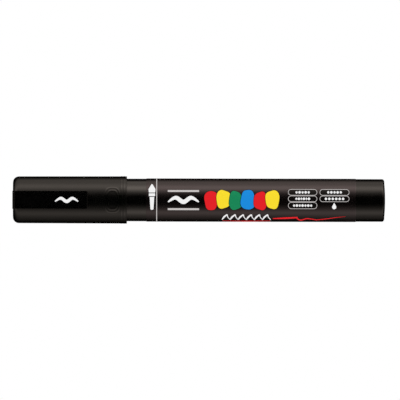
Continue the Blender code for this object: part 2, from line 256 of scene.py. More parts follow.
def moulded_plastic(name, dark, light, roughness, gloss=0.5):
    """Moulded plastic: cloudy gloss from the mould, fine orange peel and a few handling marks."""
    material, shader, nodes = new_material(name, light)
    cloud = nodes.noise(220.0)
    fine = nodes.noise(2600.0, detail=4.0)
    marks = nodes.noise(900.0, detail=2.0, stretch=(1.0, 9.0, 9.0))
    nodes.link(nodes.tint(nodes.spread(cloud, 0.0, 1.0), dark, light), shader.inputs["Base Color"])
    base = nodes.spread(cloud, roughness * 0.92, roughness * 1.08)
    wear = nodes.smooth(marks, 0.66, 0.78)
    nodes.link(nodes.math("MULTIPLY_ADD", wear, 0.06, base), shader.inputs["Roughness"])
    nodes.link(nodes.bump(fine, 0.07, 0.00002), shader.inputs["Normal"])
    shader.inputs["Specular IOR Level"].default_value = gloss
    return material


def printed_film():
    """The black film: glossy, very slightly warm, with faint lengthwise stretch lines."""
    material, shader, nodes = new_material("black_film", (0.004, 0.002, 0.002))
    cloud = nodes.noise(160.0)
    lines = nodes.noise(1500.0, detail=3.0, stretch=(0.02, 1.0, 1.0))
    dark = (0.0014, 0.0008, 0.0008)
    light = (0.0022, 0.0012, 0.0013)
    nodes.link(nodes.tint(nodes.spread(cloud, 0.0, 1.0), dark, light), shader.inputs["Base Color"])
    nodes.link(nodes.spread(cloud, 0.26, 0.31), shader.inputs["Roughness"])
    nodes.link(nodes.bump(lines, 0.04, 0.00002), shader.inputs["Normal"])
    shader.inputs["Specular IOR Level"].default_value = 0.48
    shader.inputs["Specular Tint"].default_value = (1.0, 0.88, 0.94, 1.0)
    return material


def printing_ink(name, colour):
    """One screen-printed ink: dense, with a faint mottle."""
    material, shader, nodes = new_material(name, colour)
    mottle = nodes.noise(3200.0, detail=4.0)
    thin = tuple(channel * 0.94 for channel in colour)
    nodes.link(nodes.tint(nodes.spread(mottle, 0.0, 1.0), thin, colour), shader.inputs["Base Color"])
    nodes.link(nodes.spread(mottle, 0.38, 0.50), shader.inputs["Roughness"])
    nodes.link(nodes.bump(mottle, 0.06, 0.00001), shader.inputs["Normal"])
    shader.inputs["Specular IOR Level"].default_value = 0.15
    return material


def steel(name, roughness, drawn):
    """Bright steel, with drawing lines along a wire or faint polish marks on a ball."""
    material, shader, nodes = new_material(name, (0.6, 0.6, 0.6))
    lines = nodes.noise(1800.0, stretch=(0.2, 1.0, 1.0) if drawn else (1.0, 1.0, 1.0))
    nodes.link(nodes.tint(lines, (0.50, 0.50, 0.51), (0.68, 0.68, 0.68)), shader.inputs["Base Color"])
    nodes.link(nodes.spread(lines, roughness * 0.8, roughness * 1.3), shader.inputs["Roughness"])
    nodes.link(nodes.bump(lines, 0.08, 0.00001), shader.inputs["Normal"])
    shader.inputs["Metallic"].default_value = 1.0
    return material


def rubber():
    """Dull black rubber with a fine grain."""
    material, shader, nodes = new_material("black_rubber", (0.03, 0.03, 0.03))
    grain = nodes.noise(4000.0, detail=5.0)
    colour = nodes.tint(grain, (0.018, 0.018, 0.019), (0.035, 0.034, 0.034))
    nodes.link(colour, shader.inputs["Base Color"])
    nodes.link(nodes.spread(grain, 0.62, 0.82), shader.inputs["Roughness"])
    nodes.link(nodes.bump(grain, 0.3, 0.00003), shader.inputs["Normal"])
    return material


def milky_plastic(name, colour, roughness):
    """Unpigmented plastic, which lets some light into it."""
    material, shader, nodes = new_material(name, colour)
    cloud = nodes.noise(400.0)
    dark = tuple(channel * 0.92 for channel in colour)
    nodes.link(nodes.tint(nodes.spread(cloud, 0.0, 1.0), dark, colour), shader.inputs["Base Color"])
    nodes.link(nodes.spread(cloud, roughness * 0.85, roughness * 1.15), shader.inputs["Roughness"])
    nodes.link(nodes.bump(nodes.noise(2500.0), 0.1, 0.00002), shader.inputs["Normal"])
    shader.inputs["Subsurface Weight"].default_value = 0.25
    shader.inputs["Subsurface Radius"].default_value = (1.0, 0.9, 0.8)
    shader.inputs["Subsurface Scale"].default_value = 0.0008
    return material


def fibre(name, dark, light, along):
    """Nylon bristles or a pressed fibre rod: lengthwise strands with a soft sheen."""
    material, shader, nodes = new_material(name, light)
    strands = nodes.noise(5200.0, detail=4.0, stretch=(along, 1.0, 1.0))
    nodes.link(nodes.tint(nodes.spread(strands, 0.0, 1.0), dark, light), shader.inputs["Base Color"])
    nodes.link(nodes.spread(strands, 0.42, 0.62), shader.inputs["Roughness"])
    nodes.link(nodes.bump(strands, 0.35, 0.00004), shader.inputs["Normal"])
    shader.inputs["Sheen Weight"].default_value = 0.15
    return material


def make_inks():
    """The printing's inks, in the order of their numbers."""
    return [
        printing_ink("white_ink", (0.92, 0.92, 0.92)),
        printing_ink("pale_ink", (0.60, 0.57, 0.56)),
        printing_ink("red_ink", (0.80, 0.006, 0.012)),
        printing_ink("blue_ink", (0.002, 0.26, 0.74)),
        printing_ink("green_ink", (0.002, 0.25, 0.095)),
        printing_ink("yellow_ink", (0.98, 0.75, 0.02)),
        printing_ink("black_ink", (0.003, 0.002, 0.002)),
    ]


# ---------------------------------------------------------------- mesh helpers


def rounded(corners):
    """The outline through (a, b) or (a, b, radius) corners, with an arc at each radius."""
    points = []
    for index, (a, b, *fillet) in enumerate(corners):
        corner = Vector((a, b))
        if not fillet:
            points.append(corner)
            continue
        radius = fillet[0]
        back = (Vector(corners[index - 1][:2]) - corner).normalized()
        ahead = (Vector(corners[(index + 1) % len(corners)][:2]) - corner).normalized()
        half_angle = back.angle(ahead) / 2
        centre = corner + (back + ahead).normalized() * radius / math.sin(half_angle)
        first = corner + back * radius / math.tan(half_angle) - centre
        last = corner + ahead * radius / math.tan(half_angle) - centre
        for step in range(FILLET_STEPS + 1):
            points.append(centre + first.slerp(last, step / FILLET_STEPS) * radius)
    return points


def finish_piece(name, bm, materials, sharp=35.0):
    """Puts a bmesh drawn in millimetres into the scene as a smooth closed piece."""
    bmesh.ops.dissolve_degenerate(bm, dist=0.0001, edges=bm.edges)
    bmesh.ops.recalc_face_normals(bm, faces=bm.faces)
    bmesh.ops.scale(bm, vec=(MM, MM, MM), verts=bm.verts)
    mesh = bpy.data.meshes.new(name)
    bm.to_mesh(mesh)
    bm.free()
    mesh.shade_smooth()
    mesh.set_sharp_from_angle(angle=math.radians(sharp))
    for material in materials:
        mesh.materials.append(material)
    piece = bpy.data.objects.new(name, mesh)
    bpy.context.scene.collection.objects.link(piece)
    flat_faces_flat = piece.modifiers.new("flat_faces_flat", "WEIGHTED_NORMAL")
    flat_faces_flat.keep_sharp = True
    return piece


def add_ring(bm, x, radius, sides):
    """A ring of points round the pen's axis, or the one point on it where the radius is 0."""
    if radius == 0.0:
        return [bm.verts.new((x, 0, 0))]
    ring = []
    for side in range(sides):
        angle = math.tau * side / sides
        ring.append(bm.verts.new((x, -radius * math.cos(angle), radius * math.sin(angle))))
    return ring


def add_loop(bm, centre, across, upwards, radius, sides):
    """A ring of points round any centre, in the plane of two unit vectors."""
    loop = []
    for side in range(sides):
        angle = math.tau * side / sides
        offset = across * math.cos(angle) + upwards * math.sin(angle)
        loop.append(bm.verts.new(centre + offset * radius))
    return loop


def close_rings(bm, rings):
    """Joins a row of rings into one closed body."""
    bm.faces.new(rings[0])
    bm.faces.new(rings[-1])
    for ring, after in zip(rings, rings[1:]):
        for side in range(len(ring)):
            other = (side + 1) % len(ring)
            bm.faces.new((ring[side], ring[other], after[other], after[side]))


def turned_bmesh(corners, sides=SIDES):
    """A body of revolution round the pen's axis, from an outline of (x, radius) corners."""
    bm = bmesh.new()
    rings = [add_ring(bm, x, radius, sides) for x, radius in rounded(corners)]
    closed_ends = len(rings[0]) == 1 and len(rings[-1]) == 1
    followers = rings[1:] if closed_ends else rings[1:] + rings[:1]
    for ring, after in zip(rings, followers):
        for side in range(sides):
            other = (side + 1) % sides
            if len(ring) == 1:
                bm.faces.new((ring[0], after[side], after[other]))
            elif len(after) == 1:
                bm.faces.new((ring[side], ring[other], after[0]))
            else:
                bm.faces.new((ring[side], ring[other], after[other], after[side]))
    return bm


def turned(name, corners, material, sides=SIDES):
    return finish_piece(name, turned_bmesh(corners, sides), [material])


def cut_at_x(bm, x):
    """Cuts every face that crosses the plane at x."""
    geometry = bm.verts[:] + bm.edges[:] + bm.faces[:]
    bmesh.ops.bisect_plane(bm, geom=geometry, plane_co=(x, 0, 0), plane_no=(1, 0, 0))


# ---------------------------------------------------------------- cap


def mouth_beads():
    """Corners of the cap's outline at its mouth and over the two fine beads, from the mouth inwards."""
    crest = CAP_SKIN_RADIUS + BEAD_HEIGHT
    corners = [(CAP_MOUTH_X, CAP_SKIN_RADIUS, 0.12)]
    for offset in BEAD_OFFSETS:
        x = CAP_MOUTH_X - offset
        corners += [
            (x + BEAD_HALF_WIDTH, CAP_SKIN_RADIUS),
            (x + BEAD_HALF_CREST, crest),
            (x - BEAD_HALF_CREST, crest),
            (x - BEAD_HALF_WIDTH, CAP_SKIN_RADIUS),
        ]
    return corners


def on_cap_front(point):
    """Whether a point lies on the front half of the cap's outer skin."""
    return point.y < 0 and math.hypot(point.y, point.z) > CAP_END_RADIUS - 0.05


def past_oval_line(point):
    """How far a point on the cap is from the nearer oval, as a share of the outer oval's size."""
    radius = math.hypot(point.y, point.z)
    height = CAP_MOUTH_RADIUS * math.asin(max(-1.0, min(1.0, point.z / radius)))
    along = abs(point.x - OVAL_X) / OVAL_HALF_LENGTH
    across = abs(height) / OVAL_HALF_HEIGHT
    reach = (along**OVAL_SQUARENESS + across**OVAL_SQUARENESS) ** (1.0 / OVAL_SQUARENESS)
    return min(abs(reach - 1.0), abs(reach - OVAL_INNER_REACH))


def add_grip_ovals(bm):
    """Raises two fine ovals, one inside the other, on the cap's front."""
    for vert in bm.verts:
        if not on_cap_front(vert.co):
            continue
        radius = math.hypot(vert.co.y, vert.co.z)
        ridge = OVAL_RIDGE * math.exp(-((past_oval_line(vert.co) / OVAL_RIDGE_WIDTH) ** 2))
        vert.co.y *= (radius + ridge) / radius
        vert.co.z *= (radius + ridge) / radius


def polish_raised_lines(bm):
    """Gives the second, shinier material to the ovals' outlines and to the beads' crests."""
    for face in bm.faces:
        point = face.calc_center_median()
        on_oval = on_cap_front(point) and past_oval_line(point) < 0.8 * OVAL_RIDGE_WIDTH
        on_bead = math.hypot(point.y, point.z) > CAP_SKIN_RADIUS + 0.5 * BEAD_HEIGHT
        face.material_index = int(on_oval or on_bead)


def make_cap_shell(materials):
    """The drafted cup, with the beads at its mouth and the ovals moulded into its front."""
    socket_end_x = barrel_low.x - FACE_GAP
    oval_end_x = OVAL_X - OVAL_HALF_LENGTH - 0.6
    oval_start_x = CAP_MOUTH_X - 2.45
    draft = (CAP_SKIN_RADIUS - CAP_END_RADIUS) / (CAP_MOUTH_X - CAP_END_X)
    rows = 44
    oval_rows = []
    for row in range(rows + 1):
        x = oval_start_x + (oval_end_x - oval_start_x) * row / rows
        oval_rows.append((x, CAP_END_RADIUS + draft * (x - CAP_END_X)))
    corners = [
        (CAP_END_X + CAP_END_WALL, 0.0),
        (CAP_END_X + CAP_END_WALL, CAP_BORE_FRONT, 0.8),
        (socket_end_x, CAP_BORE_REAR),
        (socket_end_x, CAP_SOCKET_RADIUS),
        (CAP_MOUTH_X, CAP_SOCKET_RADIUS, 0.12),
        *mouth_beads(),
        *oval_rows,
        (CAP_END_X, CAP_END_RADIUS, CAP_END_CORNER),
        (CAP_END_X, 0.0),
    ]
    bm = turned_bmesh(corners, CAP_SIDES)
    add_grip_ovals(bm)
    polish_raised_lines(bm)
    piece = finish_piece("cap", bm, materials)
    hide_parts("cap_shell")
    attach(piece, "cap")


def clip_profile():
    """The clip seen from above: its boss on the cap's end, the arm, and the bead under its tip."""
    bead_x = CLIP_FREE_X - 2.5
    inner_y = CLIP_OUTER_Y + CLIP_THICKNESS
    boss_y = -(CAP_BORE_FRONT + 0.4)
    end_wall_x = CAP_END_X + CAP_END_WALL - 0.3
    end_wall_y = -(CAP_END_RADIUS - CAP_END_CORNER + 0.15)
    return rounded(
        [
            (CLIP_END_X, CLIP_OUTER_Y, 1.4),
            (CLIP_FREE_X, CLIP_OUTER_Y, 0.35),
            (CLIP_FREE_X, clip_high.y, 0.35),
            (bead_x, clip_high.y, 0.5),
            (bead_x - 1.0, inner_y, 0.6),
            (CLIP_BOSS_REAR_X, inner_y, 0.5),
            (CLIP_BOSS_REAR_X, boss_y),
            (end_wall_x, boss_y),
            (end_wall_x, end_wall_y),
            (CLIP_END_X, end_wall_y, 0.1),
        ]
    )


def round_clip_tip(bm):
    """Rounds the two corners of the arm's free end, as seen square-on."""
    corner_x = CLIP_FREE_X - CLIP_TIP_CORNER
    for vert in bm.verts:
        past = vert.co.x - corner_x
        if past > 0:
            drop = CLIP_TIP_CORNER - math.sqrt(max(CLIP_TIP_CORNER**2 - past**2, 0.0))
            vert.co.z *= 1.0 - drop / (CLIP_WIDTH / 2)


def make_clip(material):
    """Boss and arm in one moulding, cut across closely where the arm leaves the boss."""
    bm = bmesh.new()
    side = bm.faces.new([bm.verts.new((x, y, -CLIP_WIDTH / 2)) for x, y in clip_profile()])
    grown = bmesh.ops.extrude_face_region(bm, geom=[side])
    far_verts = [item for item in grown["geom"] if isinstance(item, bmesh.types.BMVert)]
    bmesh.ops.translate(bm, vec=(0, 0, CLIP_WIDTH), verts=far_verts)
    bmesh.ops.recalc_face_normals(bm, faces=bm.faces)
    rims = [edge for edge in bm.edges if edge.calc_face_angle(0.0) > math.radians(60)]
    bmesh.ops.bevel(bm, geom=rims, offset=CLIP_EDGE, segments=3, profile=0.5, affect="EDGES")
    for step in range(12):
        cut_at_x(bm, CLIP_BOSS_REAR_X + 0.5 * step)
    for degrees in range(10, 100, 10):
        cut_at_x(bm, CLIP_FREE_X - CLIP_TIP_CORNER * (1 - math.cos(math.radians(degrees))))
    round_clip_tip(bm)
    piece = finish_piece("clip", bm, [material])
    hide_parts("cap_clip")
    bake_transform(piece)


def make_inner_cap(material):
    """The sealing cup inside the cap."""
    flange_rear_x = inner_low.x + 1.0
    bore = 4.85
    outer_radius = bore + 0.75
    corners = [
        (flange_rear_x, 0.0),
        (flange_rear_x, bore, 0.6),
        (inner_high.x - 0.6, bore),
        (inner_high.x, bore + 0.25, 0.1),
        (inner_high.x, outer_radius, 0.25),
        (flange_rear_x, outer_radius),
        (flange_rear_x, inner_high.z, 0.2),
        (inner_low.x, inner_high.z, 0.2),
        (inner_low.x, 0.0),
    ]
    piece = turned("inner_cap_cup", corners, material, sides=96)
    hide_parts("inner_cap")
    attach(piece, "cap")


# ---------------------------------------------------------------- barrel, film and nose


def make_barrel(materials):
    """The one-piece tube: neck, tail with its small corner radius, and the slightly domed end."""
    dome_steps = 8
    dome = []
    for step in range(dome_steps - 1, 0, -1):
        part = step / dome_steps
        dome.append((-TAIL_DOME_HEIGHT * part**2, TAIL_DOME_RADIUS * part))
    corners = [
        (-BARREL_FLOOR, 0.0),
        (-BARREL_FLOOR, BARREL_BORE, 1.0),
        (barrel_low.x, BARREL_BORE),
        (barrel_low.x, BARREL_RADIUS, 0.25),
        (-TAIL_DOME_HEIGHT, BARREL_RADIUS, TAIL_CORNER),
        *dome,
        (0.0, 0.0),
    ]
    bm = turned_bmesh(corners)
    tail_x = (label_low.x + label_high.x) / 2
    cut_at_x(bm, tail_x)
    # The tail half takes the second material, a darker copy of the body plastic: painted shade for the
    # light falling off towards the tail.
    for face in bm.faces:
        face.material_index = int(face.calc_center_median().x > tail_x)
    piece = finish_piece("barrel_tube", bm, materials)
    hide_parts("barrel")
    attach(piece, "barrel")


def make_film(material):
    """The shrunk film, closed tight at both ends, with its overlap along the back."""
    inner = BARREL_RADIUS + 0.01
    end = 0.35
    corners = [
        (label_low.x, inner),
        (label_low.x, inner + 0.05),
        (label_low.x + end, LABEL_RADIUS),
        (label_high.x - end, LABEL_RADIUS),
        (label_high.x, inner + 0.05),
        (label_high.x, inner),
    ]
    piece = turned("film", corners, material)
    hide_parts("label_sleeve")
    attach(piece, "barrel")
    overlap = rectangle(end, label_high.x - label_low.x - end, 0.0, SEAM_OVERLAP)
    seam = wrapped_patch("film_seam", [(overlap, 0, 0)], [material], lift=0.0, back=True)
    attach(seam, "barrel")


def make_nose(material):
    """The stepped nose under the cap: collar with its snap bead, cone, and nozzle."""
    collar_rear_x = barrel_low.x - FACE_GAP
    collar_front_x = collar_rear_x - 2.2
    cone_x = collar_front_x - 2.9
    nozzle_rear_x = nose_low.x + 4.6
    tip_chamber_x = nose_low.x + 12.0
    valve_chamber_x = nose_low.x + 15.0
    plug_front_x = collar_rear_x + 0.28
    plug_radius = BARREL_BORE - 0.1
    corners = [
        (nose_low.x, TIP_BORE, 0.15),
        (nose_low.x, NOZZLE_RADIUS, 0.6),
        (nozzle_rear_x, NOZZLE_RADIUS, 0.3),
        (nozzle_rear_x + 0.3, NOZZLE_RADIUS + 0.28, 0.2),
        (cone_x, NOSE_RADIUS, 0.8),
        (collar_front_x, NOSE_RADIUS, 0.2),
        (collar_front_x, nose_high.z, 0.5),
        (plug_front_x, nose_high.z, 0.5),
        (plug_front_x, plug_radius),
        (nose_high.x, plug_radius, 0.4),
        (nose_high.x, VALVE_CHAMBER_RADIUS),
        (valve_chamber_x, VALVE_CHAMBER_RADIUS),
        (valve_chamber_x, TIP_CHAMBER_RADIUS),
        (tip_chamber_x, TIP_CHAMBER_RADIUS),
        (tip_chamber_x, TIP_BORE),
    ]
    piece = turned("nose", corners, material, sides=128)
    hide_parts("front_section")
    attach(piece, "barrel")


# ---------------------------------------------------------------- brush


def make_ferrule(material):
    """The holder round the roots of the bristles, with a fine groove near its mouth."""
    mouth_x = ferrule_low.x
    socket_x = mouth_x + 8.8
    flange_x = ferrule_high.x - 1.0
    groove_radius = FERRULE_RADIUS - 0.1
    corners = [
        (mouth_x, FERRULE_SOCKET, 0.1),
        (mouth_x, FERRULE_RADIUS, 0.2),
        (mouth_x + 0.9, FERRULE_RADIUS),
        (mouth_x + 1.0, groove_radius),
        (mouth_x + 1.25, groove_radius),
        (mouth_x + 1.35, FERRULE_RADIUS),
        (flange_x, FERRULE_RADIUS),
        (flange_x, ferrule_high.z, 0.15),
        (ferrule_high.x, ferrule_high.z, 0.15),
        (ferrule_high.x, FERRULE_BORE),
        (socket_x, FERRULE_BORE),
        (socket_x, FERRULE_SOCKET),
    ]
    piece = turned("ferrule", corners, material, sides=96)
    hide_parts("brush_ferrule")
    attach(piece, "tip")


def bristle_x(part):
    """Place along the pen, from the ferrule's mouth (0) to the brush's point (1)."""
    return ferrule_low.x + (brush_low.x - ferrule_low.x) * part


def bristle_radius(part):
    """The bundle's radius from the ferrule's mouth (0) to the brush's point (1)."""
    belly = 0.21
    if part < belly:
        swell = math.sin(part / belly * math.pi / 2)
        return BRISTLE_ROOT_RADIUS + (brush_high.z - BRISTLE_ROOT_RADIUS) * swell
    along = (part - belly) / (1.0 - belly)
    return brush_high.z * (1.0 - along**2) ** 1.1


def add_packed_core(bm):
    """The tightly packed middle of the bundle, one closed body just inside its outer filaments."""
    rows = 20
    inset = 0.16
    sides = 48
    rings = [add_ring(bm, BRISTLE_ROOT_X, BRISTLE_ROOT_RADIUS - 0.3, sides)]
    for row in range(rows):
        part = row / rows
        radius = max(bristle_radius(part) - inset, BRISTLE_POINT_RADIUS)
        rings.append(add_ring(bm, bristle_x(part), radius, sides))
    close_rings(bm, rings)


def add_filament(bm, share, angle, reach, sway):
    """One tapered filament, which keeps its share of the bundle's radius all the way along."""
    rows = 12
    inset = 0.08
    root_thickness = 0.082
    rings = []
    for row in range(rows + 1):
        x = BRISTLE_ROOT_X
        spread = BRISTLE_ROOT_RADIUS - 0.05
        if row > 0:
            part = reach * (row - 1) / (rows - 1)
            x = bristle_x(part)
            spread = max(bristle_radius(part) - inset, BRISTLE_POINT_RADIUS)
        turn = angle + sway * row / rows
        centre = Vector((x, -spread * share * math.cos(turn), spread * share * math.sin(turn)))
        thickness = root_thickness * (1.0 - 0.8 * (row / rows) ** 3)
        rings.append(add_loop(bm, centre, Vector((0, 1, 0)), Vector((0, 0, 1)), thickness, sides=5))
    close_rings(bm, rings)


def make_bristles(material):
    """Fine filaments on a sunflower grid, which meet at the point, round a packed core."""
    picks = random.Random(7)
    count = 420
    golden_turn = math.pi * (3.0 - math.sqrt(5.0))
    bm = bmesh.new()
    for index in range(count):
        share = math.sqrt((index + 0.5) / count)
        reach = 1.0 - 0.10 * share**3 * picks.random()
        sway = picks.uniform(-0.05, 0.05)
        add_filament(bm, share, golden_turn * index, reach, sway)
    add_packed_core(bm)
    piece = finish_piece("bristles", bm, [material], sharp=80.0)
    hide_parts("brush_bristles")
    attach(piece, "tip")


# ---------------------------------------------------------------- valve spring


def make_spring(material):
    """The coil spring between the cage's end and the rod's head, with closed end turns."""
    wire = 0.25
    mean_radius = spring_high.z - wire
    turns = 8
    steps_per_turn = 24
    closed_pitch = 3 * wire
    start_x = spring_low.x + wire
    open_pitch = (spring_high.x - wire - start_x - 2 * closed_pitch) / (turns - 2)
    bm = bmesh.new()
    rings = []
    for step in range(turns * steps_per_turn + 1):
        turn = step / steps_per_turn
        closed = min(turn, 1.0) + max(turn - turns + 1, 0.0)
        angle = math.tau * turn
        x = start_x + closed_pitch * closed + open_pitch * (turn - closed)
        outward = Vector((0, math.cos(angle), math.sin(angle)))
        centre = Vector((x, 0, 0)) + outward * mean_radius
        rings.append(add_loop(bm, centre, outward, Vector((1, 0, 0)), wire, sides=12))
    close_rings(bm, rings)
    piece = finish_piece("spring", bm, [material], sharp=60.0)
    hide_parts("valve_spring")
    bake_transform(piece)


# ---------------------------------------------------------------- flat outlines for the printing


def rectangle(x0, x1, z0, z1):
    return [(x0, z0), (x1, z0), (x1, z1), (x0, z1)]


def pill(x0, x1, z0, z1):
    """A rectangle with half-round ends."""
    radius = (z1 - z0) / 2
    middle = (z0 + z1) / 2
    points = []
    steps = 12
    for centre_x, start in ((x1 - radius, -90), (x0 + radius, 90)):
        for step in range(steps + 1):
            angle = math.radians(start + 180 * step / steps)
            points.append((centre_x + radius * math.cos(angle), middle + radius * math.sin(angle)))
    return points


def fitted(points, x0, x1, z0, z1):
    """The outline, stretched until it fills the given box."""
    low_x = min(x for x, z in points)
    high_x = max(x for x, z in points)
    low_z = min(z for x, z in points)
    high_z = max(z for x, z in points)
    stretched = []
    for x, z in points:
        new_x = x0 + (x1 - x0) * (x - low_x) / (high_x - low_x)
        new_z = z0 + (z1 - z0) * (z - low_z) / (high_z - low_z)
        stretched.append((new_x, new_z))
    return stretched


def blob(x0, x1, z0, z1, phase):
    """A soft dab of paint that fills the given box."""
    steps = 40
    wobble = 0.05
    squareness = 2.6
    points = []
    for step in range(steps):
        angle = math.tau * step / steps
        cos = math.cos(angle)
        sin = math.sin(angle)
        reach = 1.0 + wobble * math.sin(3 * angle + phase) + wobble / 2 * math.sin(5 * angle - phase)
        radius = reach / (abs(cos) ** squareness + abs(sin) ** squareness) ** (1 / squareness)
        points.append((radius * cos, radius * sin))
    return fitted(points, x0, x1, z0, z1)


def smooth_path(points, widths, steps):
    """Spots and widths along a smooth curve through the points."""
    path = []
    for index in range(len(points) - 1):
        before = Vector(points[max(index - 1, 0)])
        here = Vector(points[index])
        there = Vector(points[index + 1])
        after = Vector(points[min(index + 2, len(points) - 1)])
        for step in range(steps):
            t = step / steps
            spot = 0.5 * (
                2 * here
                + (there - before) * t
                + (2 * before - 5 * here + 4 * there - after) * t**2
                + (3 * here - before - 3 * there + after) * t**3
            )
            path.append((spot, widths[index] + (widths[index + 1] - widths[index]) * t))
    path.append((Vector(points[-1]), widths[-1]))
    return path


def stroke(points, widths, steps=6):
    """A brush stroke: a ribbon of changing width along a smooth curve through the points."""
    path = smooth_path(points, widths, steps)
    left = []
    right = []
    for index, (spot, width) in enumerate(path):
        ahead = path[min(index + 1, len(path) - 1)][0] - path[max(index - 1, 0)][0]
        normal = Vector((-ahead.y, ahead.x)).normalized() * width / 2
        left.append(tuple(spot + normal))
        right.append(tuple(spot - normal))
    return left + right[::-1]


def wave_mark(x0, x1, middle, height):
    """One bold painted wave, a plain mark with no meaning of its own."""
    width_shares = (0.35, 1.15, 1.3, 1.15, 0.35)
    spans = len(width_shares) - 1
    points = []
    for index in range(spans + 1):
        side = 1 if index % 2 else -1
        points.append((x0 + (x1 - x0) * index / spans, middle + side * height * 0.62))
    return stroke(points, [height * share for share in width_shares], steps=10)


def bead_row(x0, x1, middle, size, count):
    """A row of small dashes and dots in turn, spread evenly."""
    shapes = []
    pitch = (x1 - x0) / count
    for index in range(count):
        centre = x0 + pitch * (index + 0.5)
        half_width = size / 2 if index % 2 else pitch * 0.36
        shapes.append(pill(centre - half_width, centre + half_width, middle - size / 2, middle + size / 2))
    return shapes


def paint_drop(x, middle, radius):
    """A drop of paint, its point upwards."""
    steps = 18
    points = []
    for step in range(steps + 1):
        angle = math.radians(150 + 240 * step / steps)
        points.append((x + radius * math.cos(angle), middle + radius * math.sin(angle)))
    return points + [(x, middle + radius * 2.1)]


# ---------------------------------------------------------------- printing


def without_repeats(points):
    """The outline without any point that lies on the one before it."""
    return [point for index, point in enumerate(points) if math.dist(point, points[index - 1]) > 0.01]


def cut_into_strips(part):
    """Cuts flat shapes lengthwise into strips that are narrow enough to bend round the film."""
    strips = int(WRAP_REACH / WRAP_STEP)
    for strip in range(-strips, strips + 1):
        cut = (0.0, 0.0, LABEL_RADIUS * math.sin(strip * WRAP_STEP))
        geometry = part.verts[:] + part.edges[:] + part.faces[:]
        bmesh.ops.bisect_plane(part, geom=geometry, dist=STRIP_MERGE, plane_co=cut, plane_no=(0, 0, 1))


def press_onto_film(vert, lift, side):
    """Moves a point of a flat shape onto the round film, at its front (-1) or its back (1)."""
    around = math.asin(max(-1.0, min(1.0, vert.co.z / LABEL_RADIUS)))
    radius = LABEL_RADIUS + lift
    vert.co.y = side * radius * math.cos(around)
    vert.co.z = radius * math.sin(around)


def join_part(bm, part):
    """Moves all of one bmesh into another."""
    mesh = bpy.data.meshes.new("print_layer")
    part.to_mesh(mesh)
    part.free()
    bm.from_mesh(mesh)
    bpy.data.meshes.remove(mesh)


def wrapped_patch(name, shapes, inks, start_x=label_low.x, lift=INK_LIFT, back=False, flat_y=None):
    """Thin raised shapes, such as printing, laid on the film or on a flat face at flat_y.

    Each shape is (outline of (x, z) points as seen square-on, ink number, layer), with x measured
    from start_x, as a rule the film's front end. Where two overlap, the higher layer lies on top.
    """
    side = 1 if back else -1
    bm = bmesh.new()
    for outline, ink, layer in shapes:
        part = bmesh.new()
        part.faces.new([part.verts.new((start_x + x, 0.0, z)) for x, z in without_repeats(outline)])
        bmesh.ops.triangulate(part, faces=part.faces[:], ngon_method="EAR_CLIP")
        if flat_y is None:
            cut_into_strips(part)
        grown = bmesh.ops.extrude_face_region(part, geom=part.faces[:])
        upper = {item for item in grown["geom"] if isinstance(item, bmesh.types.BMVert)}
        for vert in part.verts:
            vert_lift = layer * LAYER_STEP + lift + (INK_DEPTH if vert in upper else 0.0)
            if flat_y is None:
                press_onto_film(vert, vert_lift, side)
            else:
                vert.co.y = flat_y - vert_lift
        for face in part.faces:
            face.material_index = ink
        bmesh.ops.recalc_face_normals(part, faces=part.faces)
        join_part(bm, part)
    return finish_piece(name, bm, inks, sharp=50.0)


def brush_sign():
    """A stout paintbrush standing along z: handle, band and pointed tip."""
    x = 2.15
    foot_z = -3.6
    point_z = 5.9
    length = point_z - foot_z
    handle_top = foot_z + 0.50 * length
    tip_foot = foot_z + 0.67 * length
    tip_belly = foot_z + 0.80 * length
    handle = rounded(
        [
            (x - 0.55, foot_z, 0.4),
            (x + 0.55, foot_z, 0.4),
            (x + 0.85, handle_top),
            (x - 0.85, handle_top),
        ]
    )
    band = rectangle(x - 1.15, x + 1.15, foot_z + 0.53 * length, foot_z + 0.64 * length)
    tip = stroke([(x, tip_foot), (x, tip_belly), (x, point_z)], [2.3, 2.6, 0.15])
    return [(shape, WHITE, 0) for shape in (handle, band, tip)]


def ruled_panel():
    """Two pale rules with a white wave between them."""
    rules = [(rectangle(8.0, 19.6, z, z + 0.7), PALE, 0) for z in (-3.7, 3.0)]
    return rules + [(wave_mark(8.1, 19.5, 0.1, 1.25), WHITE, 0)]


def paint_dabs():
    """A row of paint dabs, each laid over the one before it with a thin black edge."""
    boxes = (
        (21.5, 26.6, -3.68, 3.30, RED),
        (26.0, 31.3, -3.15, 3.76, YELLOW),
        (30.7, 35.5, -3.60, 3.45, GREEN),
        (34.9, 40.4, -3.40, 3.76, BLUE),
        (39.8, 44.7, -3.68, 3.20, RED),
        (44.1, 49.3, -3.25, 3.65, YELLOW),
    )
    edge = DAB_EDGE
    shapes = []
    for index, (x0, x1, z0, z1, ink) in enumerate(boxes):
        phase = 1.1 * index
        shapes.append((blob(x0 - edge, x1 + edge, z0 - edge, z1 + edge, phase), BLACK, 2 * index))
        shapes.append((blob(x0, x1, z0, z1, phase), ink, 2 * index + 1))
    return shapes


def zigzag():
    """An even zigzag, thick on each rise and thin on each fall."""
    peaks = 6
    start_x = 28.1
    foot_z = -7.2
    pitch = 3.0
    height = 1.9
    half_z = foot_z + height * 0.5
    shapes = []
    for index in range(peaks):
        x = start_x + pitch * index
        peak = (x + 1.9, foot_z + height)
        rise = [(x, foot_z), (x + 0.7, half_z), peak]
        fall = [peak, (x + 2.15, half_z), (x + pitch, foot_z)]
        shapes.append((stroke(rise, [0.3, 0.62, 0.42]), WHITE, 0))
        shapes.append((stroke(fall, [0.42, 0.3, 0.25]), WHITE, 1))
    return shapes


